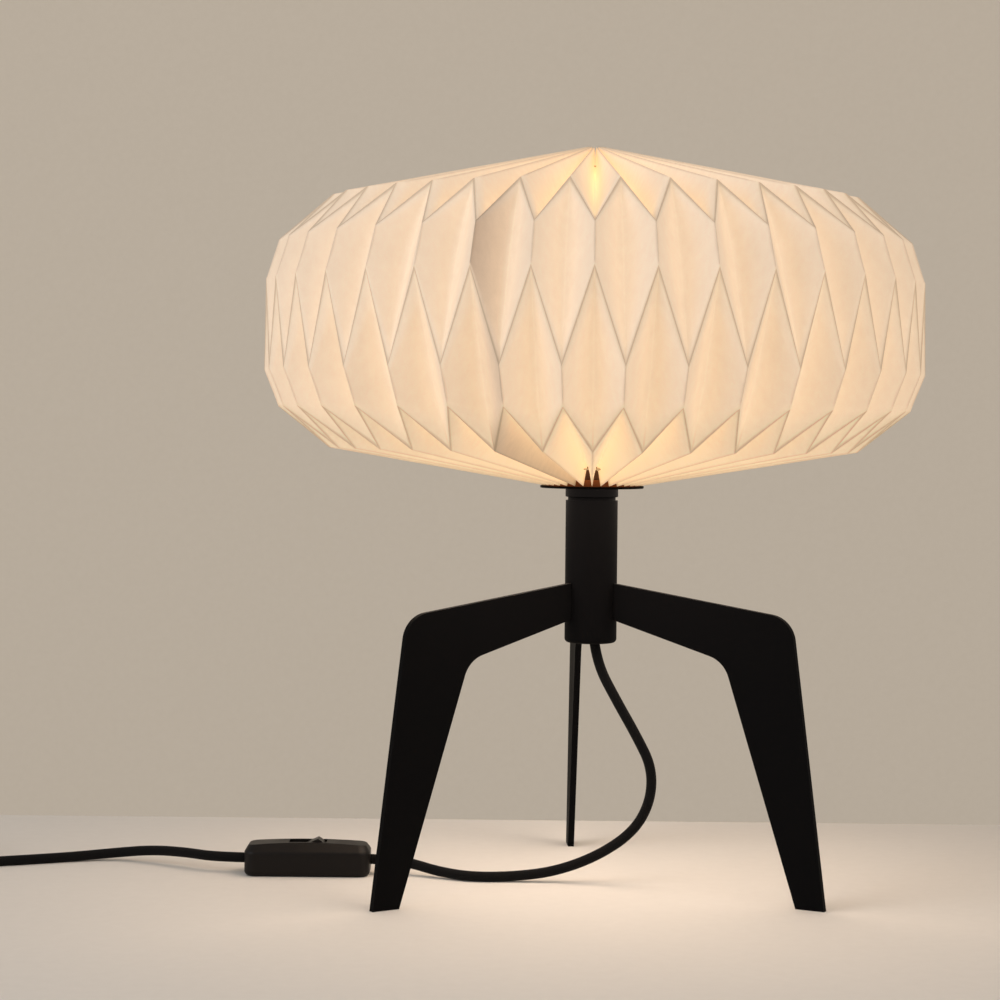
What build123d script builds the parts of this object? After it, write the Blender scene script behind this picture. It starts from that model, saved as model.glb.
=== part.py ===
from build123d import *

import math
import os

# Pleated paper table lamp. Millimetres, +Z up. The origin is on the floor under the stem's axis,
# the rear leg points along +Y and the lamp is looked at from -Y.

# --- Shade: folded paper, a drum of pleats drawn in at both ends by a thread --------------------
PLEATS = 37
PAPER_T = 0.30            # paper thickness
PAPER_TIP = 0.30          # most that a sharp fold stands proud of its crease line
STRIP_W = 25.5            # width of one flat strip between two upright creases
# Crease points as (radius, height). The "even" lines carry B, E and F, the "odd" lines C, D and G.
TOP_RIDGE_END = (7.0, 451.0)
TOP_VALLEY_END = (5.2, 425.5)
ROW_B = (162.4, 417.2)
ROW_C = (192.2, 390.9)
ROW_D = (199.8, 366.7)
ROW_E = (199.8, 313.3)
ROW_F = (191.0, 291.3)
ROW_G = (161.0, 267.0)
FOOT_RIDGE_R = 30.8       # lower end of a ridge line, which stands on the seat disc
FOOT_VALLEY = (29.2, 262.0)
TOP_STEPS = (0.05, 0.13, 0.32, 0.62)   # where the twisting strips of the end panels are divided
FOOT_STEPS = (0.12, 0.4)
SEAM_STRIP = 69           # where the paper's two ends overlap and are glued, on the inside
SEAM_ROWS = (3, 9)        # first and last station that the overlap reaches
SEAM_EDGE = 0.12          # how far it stays from the two creases, as a share of the strip
SEAM_GAP = 0.12           # glue between the two layers
SHADE_SEAT_GAP = 0.2      # the folded edge rests this far above the disc

# --- Gathering threads --------------------------------------------------------------------------
THREAD_R = 0.45
THREAD_HOLE_R = 0.8       # holes punched through the pleats
LOW_THREAD = (41.0, 255.5)
TOP_THREAD = (17.0, 438.0)
KNOT_R = 0.9
KNOT_LINE = 0             # the knot lies outside, in the groove over this crease line

# --- Stem ---------------------------------------------------------------------------------------
TUBE_R = 15.9
TUBE_WALL = 2.0
STEM_BOTTOM = 149.0
CAP_H = 4.0
TUBE_TOP = 235.8
FIT_GAP = 0.05            # radial clearance of what is pressed or screwed into the tube
CAP_SPIGOT_H = 9.0
CAP_ROUND = 2.6
CAP_BORE_R = 8.5
BUSH_BORE_R = 6.0
BUSH_FLANGE_R = 10.5
BUSH_FLANGE_H = 1.4
GROOVE_H = 2.1
NECK_R = 14.55
COLLAR_R = 16.1
COLLAR_H = 5.4
COLLAR_EDGE = 0.3
PLUG_H = 12.0             # how far the collar's plug reaches down into the tube
NIPPLE_R = 5.0
NIPPLE_BORE_R = 3.9
NIPPLE_BELOW = 7.0        # how far the nipple stands out under the collar's plug
NUT_FLATS = 14.0
NUT_H = 4.0
DISC_R = 31.6
DISC_T = 1.4
GALLERY_R = 29.0
GALLERY_WALL = 1.2
GALLERY_H = 4.0

GRIP_R = 7.5
GRIP_H = 9.0
GRIP_SCREW_R = 1.2
GRIP_GAP = 0.15
GRIP_X = 1.2
LEAD_BEND_R = 150.0
LEAD_END_L = 18.0         # straight end of the lead, inside the nipple
NIPPLE_ABOVE = 1.5        # thread that shows inside the lampholder
CORD_JOIN_Z = 176.0       # the free cord's solid starts this far up in the stem
CORD_INNER_TOP = 232.0    # where the lead's sheath ends inside the nipple
WIRE_R = 0.9
# --- Legs: three flat plates, each with a tab through a slot in the tube ------------------------
LEG_T = 4.0
LEG_ANGLES = {"leg_left": 210.0, "leg_right": 330.0, "leg_rear": 90.0}
ROOT_TOP_Z = 185.5
ROOT_BOTTOM_Z = 163.4
KNEE_OUT = (130.3, 169.4)
KNEE_OUT_R = 17.0
KNEE_IN = (88.3, 142.2)
KNEE_IN_R = 18.0
FOOT_OUT_R = 152.3
FOOT_IN_R = 134.7
TAB_H = 14.0
SLOT_GAP = 0.05
SLOT_END_GAP = 0.3

# --- Lampholder, size E14 -----------------------------------------------------------------------
WASHER_R = 9.0
WASHER_T = 0.8
WASHER_TEETH = 12
WASHER_TOOTH = 1.0
HOLDER_R = 14.0
HOLDER_WALL = 2.0
HOLDER_BASE_H = 16.0
HOLDER_FLOOR = 3.0
HOLDER_SKIRT_H = 27.0
HOLDER_RIM_R = 12.9
CORE_H = 6.0
SHELL_BORE_R = 7.1
SHELL_T = 0.4
SHELL_H = 18.0
TONGUE_T = 0.5
TONGUE_W = 3.5
TERMINAL_X = 9.3
TERMINAL_SCREW_R = 1.5

# --- Bulb ---------------------------------------------------------------------------------------
BULB_R = 22.5
BULB_THREAD_R = 6.9
BULB_THREAD_PITCH = 2.82
BULB_THREAD_DEPTH = 0.6
BULB_THREAD_TURNS = 6
BULB_TIP_R = 2.6
BULB_TIP_H = 1.6
BULB_CONE_H = 3.0
BULB_NECK_R = 13.5
BULB_NECK_H = 15.0
GLASS_T = 1.0
RIM_TO_NECK = 0.6         # gap between the holder's rim and the bulb's neck

# --- Cord ---------------------------------------------------------------------------------------
CORD_R = 3.1
CORD_EXIT_X = 2.5         # the cord leans to one side of the bush
FLOOR_Z = CORD_R
SWITCH_MID_Z = 9.5
COIL_LOW_Z = 4.3
# Lamp side, from the bush to the switch; mains side, from the switch to the coil. Points chosen by eye.
LAMP_CORD = [
    (GRIP_X, 0.0, CORD_JOIN_Z), (GRIP_X, 0.0, 163.0), (CORD_EXIT_X, 0.0, STEM_BOTTOM), (4.5, 0.0, 135.5), (16.0, -0.5, 114.0), (29.0, -1.0, 91.5),
    (38.5, -1.0, 72.5), (38.0, 1.0, 51.5), (28.0, 3.5, 32.5), (6.5, 7.5, 17.0), (-19.5, 12.0, 6.5),
    (-46.5, 13.5, FLOOR_Z), (-71.5, 13.0, FLOOR_Z), (-91.0, 25.0, 4.1), (-106.5, 34.0, 7.3),
    (-122.0, 37.6, SWITCH_MID_Z), (-148.0, 38.85, SWITCH_MID_Z)]
MAINS_CORD = [
    (-196.0, 41.15, SWITCH_MID_Z), (-228.0, 42.65, SWITCH_MID_Z), (-251.0, 60.5, 9.6), (-273.5, 76.0, 8.0),
    (-297.5, 84.5, 4.6), (-322.5, 79.0, FLOOR_Z), (-349.0, 69.0, FLOOR_Z), (-375.5, 60.0, FLOOR_Z),
    (-400.0, 53.5, COIL_LOW_Z), (-418.0, 49.0, COIL_LOW_Z)]
COIL_INNER_R = 25.5
COIL_PITCH = 6.8          # from turn to turn, and from layer to layer
COIL_TURNS = 5.25
COIL_STUB = 2.0 * CORD_R  # straight length at each end of the coil
PLUG_MID_Z = 6.85
# Tail from the coil to the plug, in the frame of the coil's end: (ahead, to the left, height).
TAIL_CORD = [(0.0, 0.0, 10.8), (16.0, 0.0, 10.8), (33.0, 6.0, 8.9), (49.0, 19.5, PLUG_MID_Z), (60.0, 35.0, PLUG_MID_Z)]
TIE_T = 0.6
TIE_W = 9.0
TIE_GAP = 0.5
TIE_TURN = 60.0           # where the tie sits round the coil, in degrees

# --- Switch in the cord -------------------------------------------------------------------------
SWITCH_AT = (-172.0, 40.0)
SWITCH_YAW = -2.7
SWITCH_L = 78.0
SWITCH_W = 28.0
SWITCH_CORNER_R = 7.0
SWITCH_EDGE_R = 3.2
SHOULDER_Z = 15.0         # where the upper shell's sloping sides begin
CROWN_Z = 20.5
CROWN_L = 71.0
CROWN_W = 15.0
CROWN_ARCH_R = 420.0      # the crown is arched a little along its length
CROWN_EDGE_R = 1.6
SHOULDER_EDGE_R = 2.4
SHELL_WALL = 2.2
POCKET_L = 60.0
POCKET_W = 20.0
ROCKER_BAY = (31.0, 13.0)
WINDOW_L = 23.4
ROCKER_W = 10.0
ROCKER_GAP = 0.3
PIVOT_Z = 10.0
PIN_R = 1.25
PIN_GAP = 0.05
PIN_L = 15.6
LUG_L = 6.0
LUG_OUT_Y = 8.0
WINDOW_WALL = 2.0
POCKET_TOP = 16.0
ROCKER_R = 14.0           # from the pivot to the rocker's raised corners
ROCKER_CORNER = 50.0      # angle of those corners above the pivot, in degrees
ROCKER_SHOULDER = 22.0
ROCKER_DIP = 1.8          # depth of the shallow V across the rocker's face
ROCKER_FOOT = (4.0, 3.4)
ROCKER_REST = -13.0       # the end next to the lamp stands up
CORD_GAP = 0.05
CLAMP_AT = 26.5
CLAMP = (5.0, 17.0, 1.8)
CLAMP_SCREW_Y = 6.2
CLAMP_SCREW_R = 1.2
CLAMP_SCREW_FOOT = 4.0
POST_R = 2.4
POST_TOP = 12.4
CASE_SCREW_AT = (33.0, 8.5)
CASE_SCREW_R = 1.4
CASE_SCREW_HEAD_R = 2.7
CASE_SCREW_HEAD_H = 1.8
CASE_SCREW_TOP = 14.0
CONTACT_T = 0.7
CONTACT_W = 5.0
CONTACT_INNER_X = 5.0
CONTACT_OUTER_X = 21.0
TERMINAL = (5.0, 6.0, 5.0)
TERMINAL_X_IN = 15.5
CORD_END_X = 24.0         # where the cord's sheath ends inside the switch

# --- Two-pin flat plug --------------------------------------------------------------------------
PLUG_W = 35.3
PLUG_T = 13.7
PLUG_FACE_L = 12.0
PLUG_NECK_L = 22.0
PLUG_NECK = (15.0, 12.0)
PLUG_CORNER_R = 5.0
RELIEF_L = 24.0
RELIEF_R = (5.6, 4.1)     # at the plug and at the cord
RELIEF_GROOVES = 5
RELIEF_GROOVE = (1.6, 0.9)
PIN_SPACING = 19.0
PLUG_PIN_R = 2.0
PLUG_PIN_L = 15.6
PLUG_SLEEVE_R = 1.9
PLUG_SLEEVE_L = 10.0
PLUG_PIN_SEAT = 6.0
PLUG_CORE_R = 1.5


def disc_top():
    return TUBE_TOP + GROOVE_H + COLLAR_H + DISC_T


def mid(a, b, t):
    return (a[0] + (b[0] - a[0]) * t, a[1] + (b[1] - a[1]) * t)


def crease_line(points, folds, steps):
    """One upright crease as stations (radius, height, out, in).

    points are its corners from top to foot, folds says for each stretch whether it is a ridge (+1) or a
    valley (-1), and steps divides a stretch. out and in are the two faces' places as (radius, height)."""
    stations = []
    for i, corner in enumerate(points):
        last = i == len(points) - 1
        fold = folds[min(i, len(folds) - 1)]
        normals = []
        for a, b in zip(points[max(i - 1, 0):i + 1], points[max(i, 1):i + 2]):
            length = math.dist(a, b)
            normals.append(((a[1] - b[1]) / length, (b[0] - a[0]) / length))
        if 0 < i < len(points) - 1:
            fold = 1
        n = (sum(v[0] for v in normals), sum(v[1] for v in normals))
        size = math.hypot(*n)
        stations.append((corner, (n[0] / size, n[1] / size), fold))
        if not last:
            for t in steps[i]:
                stations.append((mid(corner, points[i + 1], t), normals[-1], folds[i]))
    faces = []
    for (r, z), (nr, nz), fold in stations:
        mitre = PAPER_T / 2 * STRIP_W / (r * math.sin(math.pi / PLEATS))
        sharp = min(mitre, PAPER_TIP)
        blunt = 2 * mitre - sharp
        out, back = (sharp, blunt) if fold > 0 else (blunt, sharp)
        faces.append(((r + nr * out, z + nz * out), (r - nr * back, z - nz * back)))
    return faces


def around(point, degrees):
    """A (radius, height) point set at an angle about the lamp's axis."""
    r, z = point
    return Vector(r * math.cos(math.radians(degrees)), r * math.sin(math.radians(degrees)), z)


def crease_lines():
    """Outer and inner points of each upright crease, the first one at the front."""
    foot = disc_top() + SHADE_SEAT_GAP + PAPER_TIP
    foot_steps = [1 - t for t in reversed(FOOT_STEPS)]
    steps = [TOP_STEPS, (), (), foot_steps]
    even = crease_line([TOP_RIDGE_END, ROW_B, ROW_E, ROW_F, FOOT_VALLEY], [1, -1, 1, -1], steps)
    odd = crease_line([TOP_VALLEY_END, ROW_C, ROW_D, ROW_G, (FOOT_RIDGE_R, foot)], [-1, 1, -1, 1], steps)
    lines = []
    for j in range(2 * PLEATS):
        angle = j * 180 / PLEATS - 90
        line = even if j % 2 == 0 else odd
        lines.append([(around(out, angle), around(back, angle)) for out, back in line])
    return lines


def panel(a, b, c, d):
    """Two triangles over the four-sided panel a b c d, divided from b to d."""
    return [Face(Wire.make_polygon([a, b, d])), Face(Wire.make_polygon([b, c, d]))]


def shade_paper():
    lines = crease_lines()
    faces = []
    for j, line in enumerate(lines):
        beside = lines[(j + 1) % len(lines)]
        first, second = (line, beside) if j % 2 == 0 else (beside, line)
        for i in range(len(line) - 1):
            for side in (0, 1):
                faces += panel(first[i][side], first[i + 1][side], second[i + 1][side], second[i][side])
        for end in (0, -1):
            faces += panel(first[end][0], first[end][1], second[end][1], second[end][0])
    return Solid(Shell(faces))


def thread_ring(place, radius, sides=0):
    """A ring about the lamp's axis: round wire, or with a few flat sides for cutting holes."""
    r, z = place
    section = RegularPolygon(radius, sides) if sides else Circle(radius)
    return revolve(Plane(origin=(r, 0, z), z_dir=(0, -1, 0)) * section, Axis.Z)


def seam_pairs():
    """The overlap's two long edges, as pairs of points on the inner face of its strip."""
    lines = crease_lines()
    odd, even = lines[SEAM_STRIP], lines[SEAM_STRIP + 1]
    first, last = SEAM_ROWS
    rungs = []
    for i in range(first, last):
        rungs += [(even[i][1], odd[i][1]), (even[i + 1][1], odd[i][1])]
    rungs.append((even[last][1], odd[last][1]))
    return [(a + (b - a) * SEAM_EDGE, b - (b - a) * SEAM_EDGE) for a, b in rungs]


def shade_seam():
    """The overlap of the sheet's ends: a second layer glued to the inside of one strip."""
    pairs = seam_pairs()
    normals = []
    for (a, b), (c, d) in zip(pairs, pairs[1:]):
        normals.append((b - a).cross(a + b - c - d).normalized())
    stations = []
    for k, pair in enumerate(pairs):
        before = normals[max(k - 1, 0)]
        after = normals[min(k, len(normals) - 1)]
        inward = (before + after).normalized()
        stations.append([[p + inward * SEAM_GAP, p + inward * (SEAM_GAP + PAPER_T)] for p in pair])
    faces = []
    for here, there in zip(stations, stations[1:]):
        for side in (0, 1):
            faces += panel(here[0][side], there[0][side], there[1][side], here[1][side])
            faces += panel(here[side][0], there[side][0], there[side][1], here[side][1])
    for row in (stations[0], stations[-1]):
        faces += panel(row[0][0], row[1][0], row[1][1], row[0][1])
    seam = Solid(Shell(faces))
    return seam if seam.volume > 0 else -seam


def shade():
    paper = shade_paper()
    for place in (LOW_THREAD, TOP_THREAD):
        paper = paper - thread_ring(place, THREAD_HOLE_R, 6)
    r, z = LOW_THREAD
    between = KNOT_LINE * 180 / PLEATS - 90
    knot = Pos(*around((r, z), between)) * Rot(0, 0, between) * Rot(90, 0, 0) * Cylinder(KNOT_R, 2 * KNOT_R)
    knot = fillet(knot.edges().filter_by(GeomType.CIRCLE), 0.6 * KNOT_R)
    return {
        "shade_paper": paper,
        "gather_thread_low": thread_ring(LOW_THREAD, THREAD_R) + knot,
        "gather_thread_top": thread_ring(TOP_THREAD, THREAD_R),
    }


# --- Stem -----------------------------------------------------------------------------------------


def rod(radius, z0, z1, x=0.0, y=0.0):
    return Pos(x, y, (z0 + z1) / 2) * Cylinder(radius, z1 - z0)


def block(x, y, z):
    """A box from its lowest and highest X, Y and Z."""
    at = [(lo + hi) / 2 for lo, hi in (x, y, z)]
    return Pos(*at) * Box(*[hi - lo for lo, hi in (x, y, z)])


def leg(angle):
    outline = make_face(Polyline(
        (TUBE_R, ROOT_TOP_Z), KNEE_OUT, (FOOT_OUT_R, 0), (FOOT_IN_R, 0), KNEE_IN, (TUBE_R, ROOT_BOTTOM_Z),
        close=True))
    for corner, radius in ((KNEE_OUT, KNEE_OUT_R), (KNEE_IN, KNEE_IN_R)):
        outline = fillet(outline.vertices().sort_by_distance((*corner, 0))[0], radius)
    plate = extrude(Plane.XZ * outline, LEG_T / 2, both=True)
    z = (ROOT_TOP_Z + ROOT_BOTTOM_Z) / 2
    tab = block((TUBE_R - TUBE_WALL - 1, TUBE_R), (-LEG_T / 2, LEG_T / 2), (z - TAB_H / 2, z + TAB_H / 2))
    return Rot(0, 0, angle) * (plate + tab)


def stem_tube():
    inner = TUBE_R - TUBE_WALL
    bottom = STEM_BOTTOM + CAP_H
    tube = rod(TUBE_R, bottom, TUBE_TOP) - rod(inner, bottom, TUBE_TOP)
    half_w = LEG_T / 2 + SLOT_GAP
    half_h = TAB_H / 2 + SLOT_END_GAP
    z = (ROOT_TOP_Z + ROOT_BOTTOM_Z) / 2
    slot = block((inner - 1, TUBE_R + 1), (-half_w, half_w), (z - half_h, z + half_h))
    for angle in LEG_ANGLES.values():
        tube = tube - Rot(0, 0, angle) * slot
    return tube


def stem_cap():
    top = STEM_BOTTOM + CAP_H
    cap = rod(TUBE_R, STEM_BOTTOM, top)
    cap = fillet(cap.edges().group_by(Axis.Z)[0], CAP_ROUND)
    cap = cap + rod(TUBE_R - TUBE_WALL - FIT_GAP, top, top + CAP_SPIGOT_H)
    return cap - rod(CAP_BORE_R, STEM_BOTTOM, top + CAP_SPIGOT_H)


def bush_flange_z():
    return STEM_BOTTOM + CAP_H + CAP_SPIGOT_H


def cord_bush():
    seat = bush_flange_z()
    bush = rod(CAP_BORE_R - FIT_GAP, STEM_BOTTOM, seat) + rod(BUSH_FLANGE_R, seat, seat + BUSH_FLANGE_H)
    bush = bush - rod(BUSH_BORE_R, STEM_BOTTOM, seat + BUSH_FLANGE_H)
    return chamfer(bush.edges().filter_by(GeomType.CIRCLE).sort_by(Axis.Z)[0:2].sort_by(SortBy.RADIUS)[0], 0.8)


def cord_grip():
    """Clamp on the cord inside the stem, with its screw: the cord can't be pulled out."""
    z0 = bush_flange_z() + BUSH_FLANGE_H
    z1 = z0 + GRIP_H
    grip = rod(GRIP_R, z0, z1, GRIP_X) - rod(CORD_R + GRIP_GAP, z0, z1, GRIP_X)
    x0 = GRIP_X - GRIP_R
    x1 = GRIP_X - CORD_R - GRIP_GAP
    across = Pos(0, 0, (z0 + z1) / 2) * Rot(0, 90, 0)
    grip = grip - across * Pos(0, 0, (x0 + x1) / 2) * Cylinder(GRIP_SCREW_R + FIT_GAP, x1 - x0 + 1)
    screw = across * Pos(0, 0, (x0 + x1) / 2) * Cylinder(GRIP_SCREW_R, x1 - x0)
    return {"cord_grip": grip, "grip_screw": screw}


def stem_collar():
    """Turned top piece: a plug in the tube, a neck that shows as a groove, and the collar under the disc."""
    neck = TUBE_TOP + GROOVE_H
    collar = rod(COLLAR_R, neck, neck + COLLAR_H)
    collar = chamfer(collar.edges().filter_by(GeomType.CIRCLE), COLLAR_EDGE)
    body = collar + rod(NECK_R, TUBE_TOP, neck) + rod(TUBE_R - TUBE_WALL - FIT_GAP, TUBE_TOP - PLUG_H, TUBE_TOP)
    return body - rod(NIPPLE_R + FIT_GAP, TUBE_TOP - PLUG_H, neck + COLLAR_H)


def shade_disc():
    top = disc_top()
    disc = rod(DISC_R, top - DISC_T, top)
    disc = chamfer(disc.edges().filter_by(GeomType.CIRCLE), 0.25)
    return disc - rod(NIPPLE_R + FIT_GAP, top - DISC_T, top)


def shade_gallery():
    """Low ring standing on the disc, which centres the drawn-in foot of the shade."""
    z0 = disc_top()
    ring = rod(GALLERY_R, z0, z0 + GALLERY_H) - rod(GALLERY_R - GALLERY_WALL, z0, z0 + GALLERY_H)
    return fillet(ring.edges().group_by(Axis.Z)[-1], GALLERY_WALL * 0.4)


def nipple():
    z0 = TUBE_TOP - PLUG_H - NIPPLE_BELOW
    z1 = disc_top() + WASHER_T + HOLDER_FLOOR + NIPPLE_ABOVE
    pipe = rod(NIPPLE_R, z0, z1) - rod(NIPPLE_BORE_R, z0, z1)
    outer = pipe.edges().filter_by(GeomType.CIRCLE).sort_by(SortBy.RADIUS)[-2:]
    return chamfer(outer, 0.4)


def nipple_nut():
    z1 = TUBE_TOP - PLUG_H
    nut = extrude(Pos(0, 0, z1 - NUT_H) * RegularPolygon(NUT_FLATS / 2, 6, major_radius=False), NUT_H)
    return nut - rod(NIPPLE_R + FIT_GAP, z1 - NUT_H, z1)


def lock_washer():
    z0 = disc_top()
    ring = rod(WASHER_R, z0, z0 + WASHER_T) - rod(NIPPLE_R + 2 * FIT_GAP, z0, z0 + WASHER_T)
    notch = block((WASHER_R - WASHER_TOOTH, WASHER_R + 1), (-WASHER_TOOTH / 2, WASHER_TOOTH / 2),
                  (z0, z0 + WASHER_T))
    return ring - PolarLocations(0, WASHER_TEETH) * notch


# --- Lampholder and bulb --------------------------------------------------------------------------


def turned(points):
    """A solid turned about the lamp's axis from its half outline in (radius, height)."""
    return revolve(Plane.XZ * make_face(Polyline(*points, close=True)), Axis.Z)


def holder_z():
    """Heights of the lampholder: its foot, ledge, base rim and top rim."""
    foot = disc_top() + WASHER_T
    rim = foot + HOLDER_BASE_H
    return foot, rim - CORE_H, rim, rim + HOLDER_SKIRT_H


def lampholder():
    foot, ledge, rim, top = holder_z()
    inner = HOLDER_R - HOLDER_WALL
    floor = foot + HOLDER_FLOOR
    bore = NIPPLE_R + FIT_GAP
    base = turned([(bore, foot), (HOLDER_R, foot), (HOLDER_R, rim), (inner, rim), (inner, ledge),
                   (inner - HOLDER_WALL, ledge), (inner - HOLDER_WALL, floor), (bore, floor)])
    base = fillet(base.edges().group_by(Axis.Z)[0].sort_by(SortBy.RADIUS)[-1], 1.5)
    core = rod(inner - FIT_GAP, ledge, rim)
    for x in (-TERMINAL_X, TERMINAL_X):
        core = core - rod(TERMINAL_SCREW_R + FIT_GAP, ledge, rim, x)
    screws = [rod(TERMINAL_SCREW_R, ledge + 1, rim + 0.8, x) for x in (-TERMINAL_X, TERMINAL_X)]
    lip = inner - 1
    skirt = turned([(lip, rim), (HOLDER_R, rim), (HOLDER_R, rim + 3), (HOLDER_R - 0.5, rim + 3.6),
                    (HOLDER_RIM_R, top - 1), (HOLDER_RIM_R - 0.6, top), (HOLDER_RIM_R - HOLDER_WALL, top),
                    (lip, rim + 4)])
    shell = rod(SHELL_BORE_R + SHELL_T, rim, rim + SHELL_H) - rod(SHELL_BORE_R, rim, rim + SHELL_H)
    return {"holder_base": base, "holder_core": core, "holder_terminal_screws": Compound(screws),
            "holder_skirt": skirt, "holder_shell": shell, "holder_tongue": holder_tongue()}


def bulb_z():
    """Heights of the bulb: the neck's foot and top, the thread's foot and the contact tip."""
    neck = holder_z()[3] + RIM_TO_NECK
    thread = neck - BULB_THREAD_TURNS * BULB_THREAD_PITCH - 2
    return neck, neck + BULB_NECK_H, thread, thread - BULB_CONE_H - BULB_TIP_H


def holder_tongue():
    """Spring contact under the bulb's tip."""
    rim = holder_z()[2]
    rise = bulb_z()[3] - rim - TONGUE_T
    outline = make_face(Polyline(
        (-5, rim), (-2.2, rim), (1.7, rim + rise), (3.2, rim + rise), (3.2, rim + rise + TONGUE_T),
        (1.5, rim + rise + TONGUE_T), (-2.4, rim + TONGUE_T), (-5, rim + TONGUE_T), close=True))
    return extrude(Plane.XZ * outline, TONGUE_W / 2, both=True)


def bulb():
    neck, neck_top, thread, tip = bulb_z()
    crest = BULB_THREAD_R
    root = BULB_THREAD_R - BULB_THREAD_DEPTH
    points = [(crest - 1.4, thread), (root, thread + 0.6)]
    half = BULB_THREAD_PITCH / 2
    for i in range(BULB_THREAD_TURNS):
        z = thread + 1 + i * BULB_THREAD_PITCH
        points += [(crest, z + half * 0.7), (crest, z + half), (root, z + half * 1.7)]
    points += [(root, neck)]
    wave = Polyline(*points)
    cap = revolve(Plane.XZ * make_face(wave + Polyline(points[-1], (0, neck), (0, thread), points[0])), Axis.Z)
    cone = Pos(0, 0, thread - BULB_CONE_H / 2) * Cone(BULB_TIP_R, crest - 1.6, BULB_CONE_H)
    contact = rod(BULB_TIP_R, tip, tip + BULB_TIP_H)
    contact = fillet(contact.edges().group_by(Axis.Z)[0], BULB_TIP_H * 0.5)
    flank = Spline((root + 1, neck), (BULB_NECK_R - 2.2, neck + BULB_NECK_H * 0.55), (BULB_NECK_R, neck_top),
                   tangents=((0.35, 1), (0.35, 1)))
    side = flank + Polyline((BULB_NECK_R, neck_top), (0, neck_top), (0, neck), (root + 1, neck))
    housing = revolve(Plane.XZ * make_face(side), Axis.Z)
    centre = neck_top + math.sqrt(BULB_R ** 2 - BULB_NECK_R ** 2)
    glass = Pos(0, 0, centre) * (Sphere(BULB_R) - Sphere(BULB_R - GLASS_T))
    glass = glass - rod(BULB_R + 1, neck_top - BULB_R, neck_top)
    return {"bulb_cap": cap, "bulb_insulator": cone, "bulb_contact": contact, "bulb_neck": housing,
            "bulb_glass": glass}


# --- Cord -----------------------------------------------------------------------------------------


def cord_path(points, name):
    """Straight runs joined by the largest arcs that they allow."""
    radii = []
    for a, b, c in zip(points, points[1:], points[2:]):
        first = Vector(*b) - Vector(*a)
        second = Vector(*c) - Vector(*b)
        half = math.radians(first.get_angle(second)) / 2
        radii.append(0.45 * min(first.length, second.length) / math.tan(half))
    path = FilletPolyline(*points, radius=radii)
    print(name, "length", round(path.length, 1), "radii", [round(r, 1) for r in radii])
    return path


def cord_tube(points, name):
    path = cord_path(points, name)
    section = Plane(origin=path @ 0, z_dir=path % 0) * Circle(CORD_R)
    tube = sweep(section, path=path)
    print(name, "volume", round(tube.volume), "of", round(math.pi * CORD_R ** 2 * path.length))
    return tube


def smooth_step(t):
    t = min(max(t, 0.0), 1.0)
    return t * t * (3 - 2 * t)


def coil_place():
    """Centre of the coil and the bearing of its first point from there."""
    (x0, y0, _), (x1, y1, _) = MAINS_CORD[-2:]
    run = math.hypot(x1 - x0, y1 - y0)
    ahead = ((x1 - x0) / run, (y1 - y0) / run)
    start = (x1 + ahead[0] * COIL_STUB, y1 + ahead[1] * COIL_STUB)
    radius = coil_radius(-COIL_TURNS * math.pi)
    inward = math.atan(COIL_PITCH / (2 * math.pi * radius))
    bearing = math.atan2(ahead[1], ahead[0]) + inward
    right = (math.sin(bearing), -math.cos(bearing))
    centre = (start[0] + right[0] * radius, start[1] + right[1] * radius)
    return centre, math.atan2(-right[1], -right[0])


def coil_radius(x):
    """Distance from the coil's axis, where x is the winding angle from its innermost point."""
    w = math.pi / 2
    reach = (x * x + w * w) / (2 * w) if abs(x) < w else abs(x)
    return COIL_INNER_R + COIL_PITCH * reach / (2 * math.pi)


def coil_point(x):
    """A point of the coil, wound clockwise: in along the lower layer and out along the upper one."""
    (cx, cy), bearing = coil_place()
    angle = bearing - (x + COIL_TURNS * math.pi)
    r = coil_radius(x)
    z = COIL_LOW_Z + COIL_PITCH * smooth_step((x + math.pi / 2) / math.pi)
    return Vector(cx + r * math.cos(angle), cy + r * math.sin(angle), z)


def coil_heading(x):
    step = 1e-4
    return (coil_point(x + step) - coil_point(x - step)).normalized()


def biarc(p0, t0, p1, t1):
    """Two tangent arcs from one point and heading to the next."""
    v = p1 - p0
    a = 2 * (1 - t0.dot(t1))
    b = 2 * v.dot(t0 + t1)
    c = -v.dot(v)
    d = -c / b if abs(a) < 1e-9 else (-b + math.sqrt(b * b - 4 * a * c)) / (2 * a)
    q0 = p0 + t0 * d
    q1 = p1 - t1 * d
    joint = (q0 + q1) * 0.5
    return [TangentArc(p0, joint, tangent=t0), TangentArc(joint, p1, tangent=q1 - q0)]


def coil_ends():
    end = COIL_TURNS * math.pi
    first = coil_point(-end)
    last = coil_point(end)
    return first, coil_heading(-end), last, coil_heading(end)


def coil_path():
    end = COIL_TURNS * math.pi
    count = round(COIL_TURNS * 4)
    stations = [(-end + 2 * end * i / count) for i in range(count + 1)]
    first, t_first, last, t_last = coil_ends()
    edges = [Line(first - t_first * COIL_STUB, first)]
    for x0, x1 in zip(stations, stations[1:]):
        edges += biarc(coil_point(x0), coil_heading(x0), coil_point(x1), coil_heading(x1))
    edges.append(Line(last, last + t_last * COIL_STUB))
    return Wire(edges)


def least_coil_gap(path):
    """Nearest approach of two turns, measured on points along the path."""
    count = 700
    length = path.length
    points = [path @ (i / count) for i in range(count + 1)]
    apart = int(6 * CORD_R / length * count) + 1
    nearest = min((points[i] - points[k]).length
                  for i in range(count + 1) for k in range(i + apart, count + 1))
    return nearest - 2 * CORD_R


def cord_coil():
    path = coil_path()
    section = Plane(origin=path @ 0, z_dir=path % 0) * Circle(CORD_R)
    coil = sweep(section, path=path)
    print("coil length", round(path.length, 1), "gap", round(least_coil_gap(path), 2),
          "volume", round(coil.volume), "of", round(math.pi * CORD_R ** 2 * path.length))
    return coil


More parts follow.
